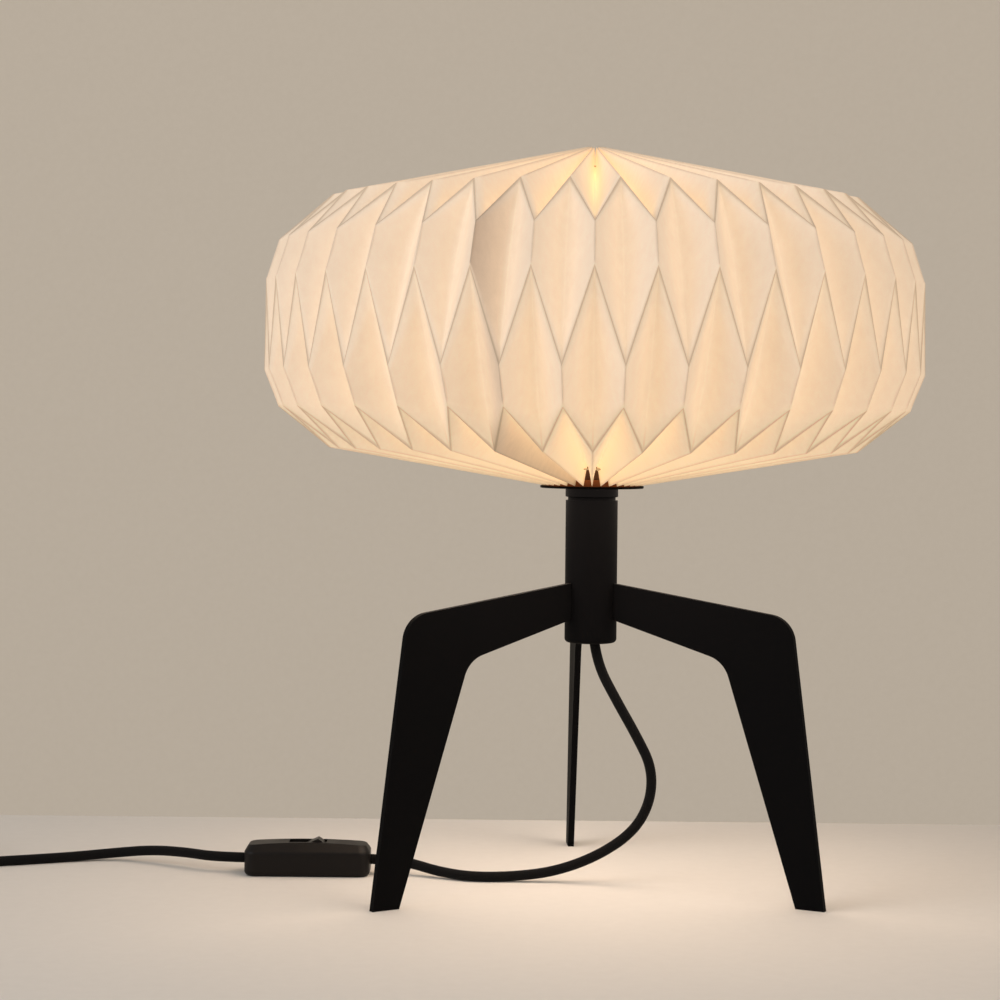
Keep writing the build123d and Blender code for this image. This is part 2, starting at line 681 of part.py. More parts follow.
def tail_points():
    _, _, last, ahead = coil_ends()
    start = last + ahead * COIL_STUB
    left = Vector(-ahead.Y, ahead.X, 0).normalized()
    ahead = Vector(ahead.X, ahead.Y, 0).normalized()
    points = []
    for a, b, z in TAIL_CORD:
        p = start + ahead * a + left * b
        points.append((round(p.X, 2), round(p.Y, 2), z))
    print("tail route", points)
    return points


def coil_tie():
    """A flat band round both layers of the coil."""
    (cx, cy), _ = coil_place()
    inner = coil_radius(0) - CORD_R - TIE_GAP
    outer = coil_radius(COIL_TURNS * math.pi) + CORD_R + TIE_GAP
    low = COIL_LOW_Z - CORD_R - TIE_GAP
    high = COIL_LOW_Z + COIL_PITCH + CORD_R + TIE_GAP
    hole = block((inner, outer), (-TIE_W / 2, TIE_W / 2), (low, high))
    band = block((inner - TIE_T, outer + TIE_T), (-TIE_W / 2, TIE_W / 2), (low - TIE_T, high + TIE_T))
    band = fillet(band.edges().filter_by(Axis.Y), 0.5) - hole
    return Pos(cx, cy, 0) * Rot(0, 0, TIE_TURN) * band


def leads():
    """What runs up inside the stem: the sheathed lead and its two cores to the holder's terminals."""
    path = FilletPolyline((GRIP_X, 0, CORD_JOIN_Z), (GRIP_X, 0, CORD_JOIN_Z + 10),
                          (0, 0, CORD_INNER_TOP - LEAD_END_L), (0, 0, CORD_INNER_TOP), radius=LEAD_BEND_R)
    inner = sweep(Plane(origin=path @ 0, z_dir=path % 0) * Circle(CORD_R), path=path)
    _, ledge, _, _ = holder_z()
    wires = []
    for side in (-1, 1):
        x = side * WIRE_R * 1.2
        end = side * (TERMINAL_X - 1.0)
        route = FilletPolyline((x, 0, CORD_INNER_TOP), (x, 0, ledge - 4.6), (end, 0, ledge - 1.6),
                               (end, 0, ledge), radius=2.0)
        wires.append(sweep(Plane(origin=route @ 0, z_dir=route % 0) * Circle(WIRE_R), path=route))
    return {"cord_inner": inner, "lead_wires": Compound(wires)}


# --- Switch in the cord ---------------------------------------------------------------------------
# Built along X about its own middle and then set down on the floor.


def rounded(length, width, radius, z):
    return Pos(0, 0, z) * RectangleRounded(length, width, radius)


def on_cord(shape):
    return Pos(*SWITCH_AT, 0) * Rot(0, 0, SWITCH_YAW) * shape


def mirrored_ends(shape):
    return shape + mirror(shape, Plane.YZ)


def switch_bores():
    """Everything that both shells are drilled for: the cord, the pin and the case screws."""
    bore = Pos(0, 0, SWITCH_MID_Z) * Rot(0, 90, 0) * Cylinder(CORD_R + CORD_GAP, SWITCH_L + 2)
    pin = Pos(0, 0, PIVOT_Z) * Rot(90, 0, 0) * Cylinder(PIN_R + 0.01, PIN_L)
    return bore + pin


def case_screw_places():
    x, y = CASE_SCREW_AT
    return [(x, y), (-x, -y)]


def switch_lower():
    shell = extrude(rounded(SWITCH_L, SWITCH_W, SWITCH_CORNER_R, 0), SWITCH_MID_Z)
    shell = fillet(shell.edges().group_by(Axis.Z)[0], SWITCH_EDGE_R)
    pocket = block((-POCKET_L / 2, POCKET_L / 2), (-POCKET_W / 2, POCKET_W / 2), (SHELL_WALL, SWITCH_MID_Z))
    shell = shell - pocket
    lug_y = ROCKER_W / 2 + ROCKER_GAP
    for side in (-1, 1):
        y0, y1 = sorted((side * lug_y, side * LUG_OUT_Y))
        shell = shell + block((-LUG_L / 2, LUG_L / 2), (y0, y1), (SHELL_WALL, SWITCH_MID_Z))
        for end in (-1, 1):
            post = rod(POST_R, SHELL_WALL, POST_TOP, end * CLAMP_AT, side * CLAMP_SCREW_Y)
            hole = rod(CLAMP_SCREW_R + FIT_GAP, CLAMP_SCREW_FOOT, POST_TOP, end * CLAMP_AT, side * CLAMP_SCREW_Y)
            shell = (shell + post) - hole
    shell = shell - switch_bores()
    for x, y in case_screw_places():
        shell = shell - rod(CASE_SCREW_R + FIT_GAP, 0, SWITCH_MID_Z, x, y)
        shell = shell - rod(CASE_SCREW_HEAD_R + 0.2, 0, CASE_SCREW_HEAD_H + 0.4, x, y)
    return on_cord(shell)


def switch_upper():
    lower = extrude(rounded(SWITCH_L, SWITCH_W, SWITCH_CORNER_R, SWITCH_MID_Z), SHOULDER_Z - SWITCH_MID_Z)
    crown = loft([rounded(SWITCH_L, SWITCH_W, SWITCH_CORNER_R, SHOULDER_Z),
                  rounded(CROWN_L, CROWN_W, SWITCH_CORNER_R * 0.6, CROWN_Z)])
    shell = lower + crown
    arch = Pos(0, 0, CROWN_Z - CROWN_ARCH_R) * Rot(90, 0, 0) * Cylinder(CROWN_ARCH_R, SWITCH_W + 2)
    shell = shell & arch
    crest = [e for e in shell.edges() if e.bounding_box().min.Z > SHOULDER_Z + 1 and abs(e.center().Z - CROWN_Z) < 2.5]
    shell = fillet(crest, CROWN_EDGE_R)
    shoulder = [e for e in shell.edges() if e.bounding_box().min.Z > SHOULDER_Z - 0.01
                and e.bounding_box().max.Z < SHOULDER_Z + 0.01]
    shell = fillet(shoulder, SHOULDER_EDGE_R)
    pocket = block((-POCKET_L / 2, POCKET_L / 2), (-POCKET_W / 2, POCKET_W / 2), (SWITCH_MID_Z, POCKET_TOP))
    shell = shell - pocket
    lug_y = ROCKER_W / 2 + ROCKER_GAP
    for side in (-1, 1):
        y0, y1 = sorted((side * lug_y, side * LUG_OUT_Y))
        shell = shell + block((-LUG_L / 2, LUG_L / 2), (y0, y1), (SWITCH_MID_Z, POCKET_TOP))
    bay_l, bay_w = ROCKER_BAY
    bay = block((-bay_l / 2, bay_l / 2), (-lug_y, lug_y), (SWITCH_MID_Z, CROWN_Z - WINDOW_WALL))
    window = block((-WINDOW_L / 2, WINDOW_L / 2), (-lug_y, lug_y), (SWITCH_MID_Z, CROWN_Z + 1))
    shell = shell - bay - window - switch_bores()
    for x, y in case_screw_places():
        shell = shell - rod(CASE_SCREW_R + FIT_GAP, SWITCH_MID_Z, CASE_SCREW_TOP + 0.4, x, y)
    return on_cord(shell)


def polar(radius, degrees):
    return (radius * math.cos(math.radians(degrees)), radius * math.sin(math.radians(degrees)))


def switch_rocker():
    right = polar(ROCKER_R, ROCKER_CORNER)
    left = (-right[0], right[1])
    low = polar(ROCKER_R, ROCKER_SHOULDER)
    mid_arc = polar(ROCKER_R, (ROCKER_CORNER + ROCKER_SHOULDER) / 2)
    foot_x, foot_z = ROCKER_FOOT
    lines = [
        Polyline(left, (0, right[1] - ROCKER_DIP), right),
        ThreePointArc(right, mid_arc, low),
        Polyline(low, (foot_x, -foot_z), (-foot_x, -foot_z), (-low[0], low[1])),
        ThreePointArc((-low[0], low[1]), (-mid_arc[0], mid_arc[1]), left)]
    outline = make_face(Curve() + lines)
    body = extrude(Plane.XZ * outline, ROCKER_W / 2, both=True)
    body = body - Rot(90, 0, 0) * Cylinder(PIN_R + PIN_GAP, ROCKER_W)
    return on_cord(Pos(0, 0, PIVOT_Z) * Rot(0, ROCKER_REST, 0) * body)


def switch_inside():
    pin = Pos(0, 0, PIVOT_Z) * Rot(90, 0, 0) * Cylinder(PIN_R, PIN_L)
    clamp_l, clamp_w, clamp_t = CLAMP
    z0 = SWITCH_MID_Z + CORD_R + CORD_GAP
    clamp = block((CLAMP_AT - clamp_l / 2, CLAMP_AT + clamp_l / 2), (-clamp_w / 2, clamp_w / 2), (z0, z0 + clamp_t))
    clamp_screws = []
    for side in (-1, 1):
        y = side * CLAMP_SCREW_Y
        clamp = clamp - rod(CLAMP_SCREW_R + FIT_GAP, z0, z0 + clamp_t, CLAMP_AT, y)
        screw = rod(CLAMP_SCREW_R, CLAMP_SCREW_FOOT, z0 + clamp_t, CLAMP_AT, y)
        screw = screw + rod(CLAMP_SCREW_R + 0.9, z0 + clamp_t, z0 + clamp_t + 1.2, CLAMP_AT, y)
        clamp_screws.append(screw)
    t_l, t_w, t_h = TERMINAL
    strip_top = SHELL_WALL + CONTACT_T
    strip = block((CONTACT_INNER_X, CONTACT_OUTER_X), (-CONTACT_W / 2, CONTACT_W / 2), (SHELL_WALL, strip_top))
    strip = strip + rod(1.4, strip_top, strip_top + 1.0, CONTACT_INNER_X + 1.6)
    x0, x1 = TERMINAL_X_IN, TERMINAL_X_IN + t_l
    terminal = block((x0, x1), (-t_w / 2, t_w / 2), (strip_top, strip_top + t_h))
    hole = Pos(x1, 0, strip_top + t_h / 2) * Rot(0, 90, 0) * Cylinder(WIRE_R + FIT_GAP, 2 * t_l)
    terminal = terminal - hole
    screw = rod(1.5, strip_top + t_h, strip_top + t_h + 1.4, (x0 + x1) / 2)
    z = strip_top + t_h / 2
    wire = Pos((x0 + 1 + CORD_END_X) / 2, 0, z) * Rot(0, 90, 0) * Cylinder(WIRE_R, CORD_END_X - x0 - 1)
    case_screws = []
    for x, y in case_screw_places():
        shank = rod(CASE_SCREW_R, CASE_SCREW_HEAD_H + 0.3, CASE_SCREW_TOP, x, y)
        head = rod(CASE_SCREW_HEAD_R, 0.3, CASE_SCREW_HEAD_H + 0.4, x, y)
        slot = block((x - 3, x + 3), (y - 0.3, y + 0.3), (0.3, 1.1))
        case_screws.append(shank + head - slot)

    def both(shape):
        return on_cord(Compound([shape, mirror(shape, Plane.YZ)]))
    return {
        "switch_pin": on_cord(pin),
        "switch_cord_clamps": both(clamp),
        "switch_clamp_screws": on_cord(Compound(clamp_screws + [mirror(s, Plane.YZ) for s in clamp_screws])),
        "switch_contacts": both(strip),
        "switch_terminals": both(terminal),
        "switch_terminal_screws": both(screw),
        "switch_wires": both(wire),
        "switch_case_screws": on_cord(Compound(case_screws)),
    }


# --- Plug -----------------------------------------------------------------------------------------
# Built along +X from the cord's end, lying flat, and then turned to the tail's last run.


def plug_section(x, width, thickness, radius):
    return Plane(origin=(x, 0, 0), x_dir=(0, 1, 0), z_dir=(1, 0, 0)) * RectangleRounded(width, thickness, radius)


def plug():
    points = tail_points()
    end = Vector(*points[-1])
    run = end - Vector(*points[-2])
    heading = math.degrees(math.atan2(run.Y, run.X))

    def at_end(shape):
        return Pos(end.X, end.Y, end.Z) * Rot(0, 0, heading) * shape
    thick, thin = RELIEF_R
    relief = Pos(RELIEF_L / 2, 0, 0) * Rot(0, 90, 0) * Cone(thin, thick, RELIEF_L)
    step = RELIEF_L / (RELIEF_GROOVES + 1)
    wide, deep = RELIEF_GROOVE
    for i in range(RELIEF_GROOVES):
        x = step * (i + 1)
        radius = thin + (thick - thin) * x / RELIEF_L
        side = -1 if i % 2 else 1
        for y in (radius, -radius):
            notch = block((x - wide / 2, x + wide / 2), sorted((y * 0.72, y * 1.3)), (-thick, thick))
            relief = relief - notch
    neck_w, neck_t = PLUG_NECK
    neck = loft([plug_section(RELIEF_L, neck_w, neck_t, PLUG_CORNER_R),
                 plug_section(RELIEF_L + PLUG_NECK_L, PLUG_W, PLUG_T, PLUG_CORNER_R)])
    face_x = RELIEF_L + PLUG_NECK_L + PLUG_FACE_L
    front = extrude(plug_section(RELIEF_L + PLUG_NECK_L, PLUG_W, PLUG_T, PLUG_CORNER_R), PLUG_FACE_L)
    front = fillet(front.edges().group_by(Axis.X)[-1], 1.2)
    body = neck + front
    pins = []
    sleeves = []
    for y in (-PIN_SPACING / 2, PIN_SPACING / 2):
        x0 = face_x - PLUG_PIN_SEAT
        x2 = face_x + PLUG_SLEEVE_L
        x3 = face_x + PLUG_PIN_L
        body = body - Pos((x0 + face_x) / 2, y, 0) * Rot(0, 90, 0) * Cylinder(PLUG_SLEEVE_R, face_x - x0)
        core = Pos((x0 + x2) / 2, y, 0) * Rot(0, 90, 0) * Cylinder(PLUG_CORE_R, x2 - x0)
        tip = Pos((x2 + x3) / 2, y, 0) * Rot(0, 90, 0) * Cylinder(PLUG_PIN_R, x3 - x2)
        tip = fillet(tip.edges().group_by(Axis.X)[-1], PLUG_PIN_R * 0.7)
        pins.append(core + tip)
        sleeve = Pos((x0 + x2) / 2, y, 0) * Rot(0, 90, 0) * Cylinder(PLUG_SLEEVE_R, x2 - x0)
        sleeve = sleeve - Pos((x0 + x2) / 2, y, 0) * Rot(0, 90, 0) * Cylinder(PLUG_CORE_R, x2 - x0)
        sleeves.append(sleeve)
    return {"plug_body": at_end(body), "plug_relief": at_end(relief), "plug_pins": at_end(Compound(pins)),
            "plug_pin_sleeves": at_end(Compound(sleeves))}


# --- The lamp -------------------------------------------------------------------------------------


def make_nodes():
    nodes = {name: leg(angle) for name, angle in LEG_ANGLES.items()}
    nodes["stem_tube"] = stem_tube()
    nodes["stem_cap"] = stem_cap()
    nodes["cord_bush"] = cord_bush()
    nodes.update(cord_grip())
    nodes["stem_collar"] = stem_collar()
    nodes["shade_disc"] = shade_disc()
    nodes["shade_gallery"] = shade_gallery()
    nodes["nipple"] = nipple()
    nodes["nipple_nut"] = nipple_nut()
    nodes["lock_washer"] = lock_washer()
    nodes.update(lampholder())
    nodes.update(bulb())
    nodes.update(leads())
    nodes.update(shade())
    nodes["shade_seam"] = shade_seam()
    nodes["switch_lower"] = switch_lower()
    nodes["switch_upper"] = switch_upper()
    nodes["switch_rocker"] = switch_rocker()
    nodes.update(switch_inside())
    nodes["cord_lamp"] = cord_tube(LAMP_CORD, "cord_lamp")
    nodes["cord_mains"] = cord_tube(MAINS_CORD, "cord_mains")
    nodes["cord_coil"] = cord_coil()
    nodes["cord_tail"] = cord_tube(tail_points(), "cord_tail")
    nodes["coil_tie"] = coil_tie()
    nodes.update(plug())
    return nodes


os.makedirs("parts", exist_ok=True)
for node, shape in make_nodes().items():
    export_step(shape, f"parts/{node}.step")
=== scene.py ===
import math

import bpy
from mathutils import Matrix, Vector


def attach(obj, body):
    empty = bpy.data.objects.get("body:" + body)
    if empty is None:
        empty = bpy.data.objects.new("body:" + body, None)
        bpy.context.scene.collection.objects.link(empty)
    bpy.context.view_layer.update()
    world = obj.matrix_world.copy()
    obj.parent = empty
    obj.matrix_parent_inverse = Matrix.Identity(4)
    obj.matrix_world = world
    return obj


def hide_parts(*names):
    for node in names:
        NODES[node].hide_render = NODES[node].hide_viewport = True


# Pleated paper table lamp: looks and studio. Metres, +Z up, floor at 0, rear leg along +Y.

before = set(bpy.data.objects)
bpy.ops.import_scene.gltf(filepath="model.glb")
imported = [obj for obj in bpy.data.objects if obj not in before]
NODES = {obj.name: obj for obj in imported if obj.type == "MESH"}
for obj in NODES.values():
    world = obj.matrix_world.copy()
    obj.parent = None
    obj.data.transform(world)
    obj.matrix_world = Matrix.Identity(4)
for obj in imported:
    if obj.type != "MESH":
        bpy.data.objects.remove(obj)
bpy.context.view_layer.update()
MM = 0.001
scene = bpy.context.scene

# ---------------------------------------------------------------- camera
# The photograph's camera: level, a long lens, lowered by shifting the lens, with a slight roll.

CAMERA_AT = (-0.1257, -1.4531, 0.2843)
CAMERA_YAW = math.radians(-2.74)      # from +Y, anticlockwise
CAMERA_ROLL = math.radians(-0.57)
CAMERA_LENS = 85.86                   # on a 36 mm sensor
CAMERA_SHIFT = 80.1 / 1000


def make_camera():
    data = bpy.data.cameras.new("camera")
    data.sensor_width = 36.0
    data.lens = CAMERA_LENS
    data.shift_x = CAMERA_SHIFT * math.sin(CAMERA_ROLL)
    data.shift_y = -CAMERA_SHIFT * math.cos(CAMERA_ROLL)
    data.clip_start = 0.01
    camera = bpy.data.objects.new("camera", data)
    turn = Matrix.Rotation(CAMERA_YAW, 4, "Z") @ Matrix.Rotation(math.pi / 2, 4, "X")
    camera.matrix_world = Matrix.Translation(CAMERA_AT) @ turn @ Matrix.Rotation(-CAMERA_ROLL, 4, "Z")
    scene.collection.objects.link(camera)
    scene.camera = camera


make_camera()

# ---------------------------------------------------------------- meshes


def new_object(name, mesh, material=None):
    obj = bpy.data.objects.new(name, mesh)
    scene.collection.objects.link(obj)
    if material:
        mesh.materials.clear()
        mesh.materials.append(material)
    return obj


def mesh_from(name, points, faces, smooth=True):
    mesh = bpy.data.meshes.new(name)
    mesh.from_pydata([tuple(p) for p in points], [], faces)
    mesh.validate()
    if smooth:
        mesh.shade_smooth()
    mesh.update()
    return mesh


# ---------------------------------------------------------------- cord
# The routes are the control points of smooth splines, in millimetres.

CORD_R = 3.1
LAMP_ROUTE = [
    (2.5, 0.0, 149.0), (4.5, 0.0, 135.5), (16.0, -0.5, 114.0), (29.0, -1.0, 91.5),
    (38.5, -1.0, 72.5), (38.0, 1.0, 51.5), (28.0, 3.5, 32.5), (6.5, 7.5, 17.0), (-19.5, 12.0, 6.5),
    (-46.5, 13.5, 3.1), (-71.5, 13.0, 3.1), (-91.0, 25.0, 4.1), (-106.5, 34.0, 7.3),
    (-122.0, 37.6, 9.5), (-148.0, 38.85, 9.5)]
MAINS_ROUTE = [
    (-196.0, 41.15, 9.5), (-228.0, 42.65, 9.5), (-251.0, 60.5, 9.6), (-273.5, 76.0, 8.0),
    (-297.5, 84.5, 4.6), (-322.5, 79.0, 3.1), (-349.0, 69.0, 3.1), (-375.5, 60.0, 3.1),
    (-400.0, 53.5, 4.3), (-418.0, 49.0, 4.3)]
TAIL_ROUTE = [
    (-483.81, 98.96, 10.8), (-494.49, 113.48, 8.9), (-512.06, 124.87, 6.85), (-530.09, 130.89, 6.85)]
COIL_INNER_R = 25.5
COIL_PITCH = 6.8
COIL_TURNS = 5.25
COIL_LOW_Z = 4.3
COIL_STUB = 6.2
COIL_PER_TURN = 14


def coil_radius(x):
    w = math.pi / 2
    reach = (x * x + w * w) / (2 * w) if abs(x) < w else abs(x)
    return COIL_INNER_R + COIL_PITCH * reach / (2 * math.pi)


def coil_route():
    """Control points of the spare cord's coil: in along the floor, out again on top."""
    (x0, y0, _), (x1, y1, _) = MAINS_ROUTE[-2:]
    ahead = Vector((x1 - x0, y1 - y0)).normalized()
    end = COIL_TURNS * math.pi
    radius = coil_radius(end)
    bearing = math.atan2(ahead.y, ahead.x) + math.atan(COIL_PITCH / (2 * math.pi * radius))
    right = Vector((math.sin(bearing), -math.cos(bearing)))
    centre = Vector((x1, y1)) + ahead * COIL_STUB + right * radius
    start = math.atan2(-right.y, -right.x)
    count = round(COIL_TURNS * COIL_PER_TURN)
    step = 2 * end / count
    swell = 1 / math.cos(step / 2) ** 0.5      # control points stand just outside the line they draw
    points = []
    for i in range(count + 1):
        x = -end + i * step
        t = min(max((x + math.pi / 2) / math.pi, 0.0), 1.0)
        z = COIL_LOW_Z + COIL_PITCH * t * t * (3 - 2 * t)
        angle = start - (x + end)
        r = coil_radius(x) * swell
        points.append((centre.x + r * math.cos(angle), centre.y + r * math.sin(angle), z))
    return points


def spline_path(name, route):
    """Points along the smooth line that the route's control points draw, in metres."""
    curve = bpy.data.curves.new(name, "CURVE")
    curve.dimensions = "3D"
    curve.resolution_u = 14
    spline = curve.splines.new("NURBS")
    spline.points.add(len(route) - 1)
    for point, (x, y, z) in zip(spline.points, route):
        point.co = (x * MM, y * MM, z * MM, 1.0)
    spline.order_u = 3
    spline.use_endpoint_u = True
    obj = bpy.data.objects.new(name, curve)
    scene.collection.objects.link(obj)
    mesh = bpy.data.meshes.new_from_object(obj.evaluated_get(bpy.context.evaluated_depsgraph_get()))
    path = [v.co.copy() for v in mesh.vertices]
    bpy.data.objects.remove(obj)
    bpy.data.meshes.remove(mesh)
    return [p for i, p in enumerate(path) if i == 0 or (p - path[i - 1]).length > 1e-6]


def path_length(path):
    return sum((b - a).length for a, b in zip(path, path[1:]))


def tube_mesh(name, path, radius, sides=20, spacing=0.0016):
    """A round tube along the path, with its length and girth in millimetres as UV."""
    total = path_length(path)
    count = max(2, round(total / spacing))
    rings = []
    walked, k = 0.0, 0
    for i in range(count + 1):
        want = total * i / count
        while k < len(path) - 2 and walked + (path[k + 1] - path[k]).length < want:
            walked += (path[k + 1] - path[k]).length
            k += 1
        a, b = path[k], path[k + 1]
        rings.append((a.lerp(b, min(1.0, (want - walked) / (b - a).length)), (b - a).normalized(), want))
    side = rings[0][1].orthogonal().normalized()
    points, coords = [], []
    for place, along, want in rings:
        side = (side - along * side.dot(along)).normalized()
        up = along.cross(side)
        for j in range(sides):
            angle = 2 * math.pi * j / sides
            points.append(place + (side * math.cos(angle) + up * math.sin(angle)) * radius)
    faces = []
    for i in range(count):
        for j in range(sides):
            a, b = i * sides + j, i * sides + (j + 1) % sides
            faces.append((a, b, b + sides, a + sides))
    faces.append(tuple(reversed(range(sides))))
    faces.append(tuple(range(count * sides, count * sides + sides)))
    mesh = mesh_from(name, points, faces)
    uv = mesh.uv_layers.new(name="length_girth")
    girth = 2 * math.pi * radius / MM
    for face in mesh.polygons:
        spokes = {mesh.loops[i].vertex_index % sides for i in face.loop_indices}
        wraps = len(face.vertices) == 4 and 0 in spokes and sides - 1 in spokes
        for i in face.loop_indices:
            v = mesh.loops[i].vertex_index
            j = v % sides
            turn = 1.0 if wraps and j == 0 else j / sides
            uv.data[i].uv = (rings[min(v // sides, count)][2] / MM, turn * girth)
    return mesh


# ---------------------------------------------------------------- node expressions


class Ex:
    """A value in a node tree, so that materials read as formulas."""

    def __init__(self, tree, socket):
        self.tree, self.socket = tree, socket

    def put(self, node, index, value):
        if isinstance(value, Ex):
            self.tree.links.new(value.socket, node.inputs[index])
        else:
            node.inputs[index].default_value = value

    def math(self, kind, *others):
        node = self.tree.nodes.new("ShaderNodeMath")
        node.operation = kind
        for i, value in enumerate((self, *others)):
            self.put(node, i, value)
        return Ex(self.tree, node.outputs[0])

    def __add__(self, o): return self.math("ADD", o)
    def __radd__(self, o): return self.math("ADD", o)
    def __sub__(self, o): return self.math("SUBTRACT", o)
    def __rsub__(self, o): return (self * -1.0) + o
    def __mul__(self, o): return self.math("MULTIPLY", o)
    def __rmul__(self, o): return self.math("MULTIPLY", o)
    def sin(self): return self.math("SINE")
    def abs(self): return self.math("ABSOLUTE")
    def max(self, o): return self.math("MAXIMUM", o)

    def ramp(self, low, high, a=0.0, b=1.0):
        """Smooth step: a at low, b at high."""
        node = self.tree.nodes.new("ShaderNodeMapRange")
        node.interpolation_type = "SMOOTHSTEP"
        for i, value in enumerate((self, low, high, a, b)):
            self.put(node, i, value)
        return Ex(self.tree, node.outputs[0])


class Material:
    """A Principled material whose sockets take numbers, colours or expressions."""

    def __init__(self, name, **sockets):
        self.material = bpy.data.materials.new(name)
        self.material.use_nodes = True
        self.tree = self.material.node_tree
        self.shader = self.tree.nodes["Principled BSDF"]
        self.set(**sockets)

    def node(self, kind, **props):
        node = self.tree.nodes.new(kind)
        for key, value in props.items():
            setattr(node, key, value)
        return node

    def set(self, **sockets):
        for key, value in sockets.items():
            socket = self.shader.inputs[key.replace("_", " ")]
            if isinstance(value, Ex):
                self.tree.links.new(value.socket, socket)
            elif isinstance(value, (tuple, list)) and len(value) == 3 and socket.type == "RGBA":
                socket.default_value = (*value, 1.0)
            else:
                socket.default_value = value
        return self

    def place(self):
        """The socket of the Object coordinates."""
        return self.node("ShaderNodeTexCoord").outputs["Object"]

    def uv(self, name):
        """The two coordinates of a UV map, as expressions."""
        out = self.node("ShaderNodeUVMap", uv_map=name).outputs[0]
        split = self.node("ShaderNodeSeparateXYZ")
        self.tree.links.new(out, split.inputs[0])
        return Ex(self.tree, split.outputs[0]), Ex(self.tree, split.outputs[1])

    def attribute(self, name):
        return Ex(self.tree, self.node("ShaderNodeAttribute", attribute_name=name).outputs["Fac"])

    def noise(self, at, scale, detail=3.0, rough=0.5, stretch=None):
        if stretch:
            shift = self.node("ShaderNodeMapping")
            shift.inputs["Scale"].default_value = stretch
            self.tree.links.new(at, shift.inputs["Vector"])
            at = shift.outputs[0]
        node = self.node("ShaderNodeTexNoise")
        node.inputs["Scale"].default_value = scale
        node.inputs["Detail"].default_value = detail
        node.inputs["Roughness"].default_value = rough
        self.tree.links.new(at, node.inputs["Vector"])
        return Ex(self.tree, node.outputs["Fac"])

    def mix(self, amount, a, b):
        """Colour a where amount is 0, b where it is 1."""
        node = self.node("ShaderNodeMix", data_type="RGBA")
        for socket, value in ((node.inputs[0], amount), (node.inputs[6], a), (node.inputs[7], b)):
            if isinstance(value, Ex):
                self.tree.links.new(value.socket, socket)
            elif isinstance(value, (tuple, list)):
                socket.default_value = (*value, 1.0)
            else:
                socket.default_value = value
        return Ex(self.tree, node.outputs[2])

    def scaled(self, colour, amount):
        """A colour made darker or lighter by a number."""
        node = self.node("ShaderNodeVectorMath", operation="SCALE")
        self.tree.links.new(colour.socket, node.inputs[0])
        self.tree.links.new(amount.socket, node.inputs["Scale"])
        return Ex(self.tree, node.outputs[0])

    def bump(self, height, distance, strength=1.0):
        node = self.node("ShaderNodeBump")
        node.inputs["Strength"].default_value = strength
        node.inputs["Distance"].default_value = distance
        self.tree.links.new(height.socket, node.inputs["Height"])
        return self.set(Normal=Ex(self.tree, node.outputs[0]))


# ---------------------------------------------------------------- materials


def black_paint():
    """Matte powder coat: a fine orange peel, a little uneven in gloss."""
    m = Material("black_paint", Metallic=0.0, Specular_IOR_Level=0.05)
    at = m.place()
    peel = m.noise(at, 900.0, 2.0)
    cloud = m.noise(at, 14.0, 3.0)
    m.set(Base_Color=m.mix(cloud, (0.0014, 0.0013, 0.0016), (0.003, 0.0028, 0.0032)))
    m.set(Roughness=cloud.ramp(0.3, 0.7, 0.55, 0.68) + (peel - 0.5) * 0.1)
    m.bump(peel, 0.00006, 0.5)
    return m.material


def moulded(name, dark, light, rough=0.45, grain=1400.0, depth=0.00004, **more):
    """Moulded plastic with a fine spark-eroded grain."""
    m = Material(name, **more)
    at = m.place()
    fine = m.noise(at, grain, 2.0)
    cloud = m.noise(at, 30.0, 3.0)
    m.set(Base_Color=m.mix(cloud, dark, light))
    m.set(Roughness=cloud.ramp(0.3, 0.7, rough - 0.05, rough + 0.07) + (fine - 0.5) * 0.08)
    m.bump(fine, depth, 0.6)
    return m.material


def metal(name, dark, light, rough=0.3, turn=False):
    """Plated or turned metal with fine tool marks and a little staining."""
    m = Material(name, Metallic=1.0)
    at = m.place()
    marks = m.noise(at, 500.0, 3.0, 0.6, (0.08, 0.08, 1.0) if turn else (1.0, 1.0, 1.0))
    stain = m.noise(at, 90.0, 3.0)
    m.set(Base_Color=m.mix(stain.ramp(0.35, 0.75), light, dark))
    m.set(Roughness=stain.ramp(0.3, 0.7, rough - 0.06, rough + 0.1) + (marks - 0.5) * 0.15)
    m.bump(marks, 0.00003, 0.5)
    return m.material


BRAID_BUNDLES = 16              # round the cord
BRAID_SLANT = 0.62              # bundles that cross each millimetre of the cord's length


def braid():
    """Textile sleeve: two sets of thread bundles that cross at a slant."""
    m = Material("cord_braid", Specular_IOR_Level=0.1)
    along, girth = m.uv("length_girth")
    per_mm = BRAID_BUNDLES / (2 * math.pi * CORD_R)
    one = (along * BRAID_SLANT + girth * per_mm) * math.pi
    two = (along * BRAID_SLANT - girth * per_mm) * math.pi
    bundle_one = one.sin().abs()
    bundle_two = two.sin().abs()
    over = (along * BRAID_SLANT * math.pi).sin() * (girth * per_mm * math.pi).sin()
    height = bundle_one.max(bundle_two) * 0.75 + over.abs() * 0.25
    fuzz = m.noise(m.place(), 2600.0, 2.0)
    # Darker between the bundles: painted shade in the hollows of the weave, with a random fuzz.
    shade = height.ramp(0.45, 1.0) * 0.8 + fuzz * 0.2
    m.set(Base_Color=m.mix(shade, (0.002, 0.0019, 0.002), (0.0085, 0.008, 0.0082)))
    m.set(Roughness=height.ramp(0.4, 1.0, 0.95, 0.78))
    m.set(Sheen_Weight=0.05, Sheen_Roughness=0.4)
    m.bump(height + fuzz * 0.25, 0.00035, 0.8)
    return m.material


def thread_material():
    """Undyed cotton: a plied thread, a little uneven in tone."""
    m = Material("cotton_thread", Roughness=0.85)
    at = m.place()
    ply = m.noise(at, 1800.0, 2.0)
    m.set(Base_Color=m.mix(ply, (0.42, 0.36, 0.28), (0.7, 0.63, 0.52)))
    m.bump(ply, 0.0002, 0.7)
    return m.material


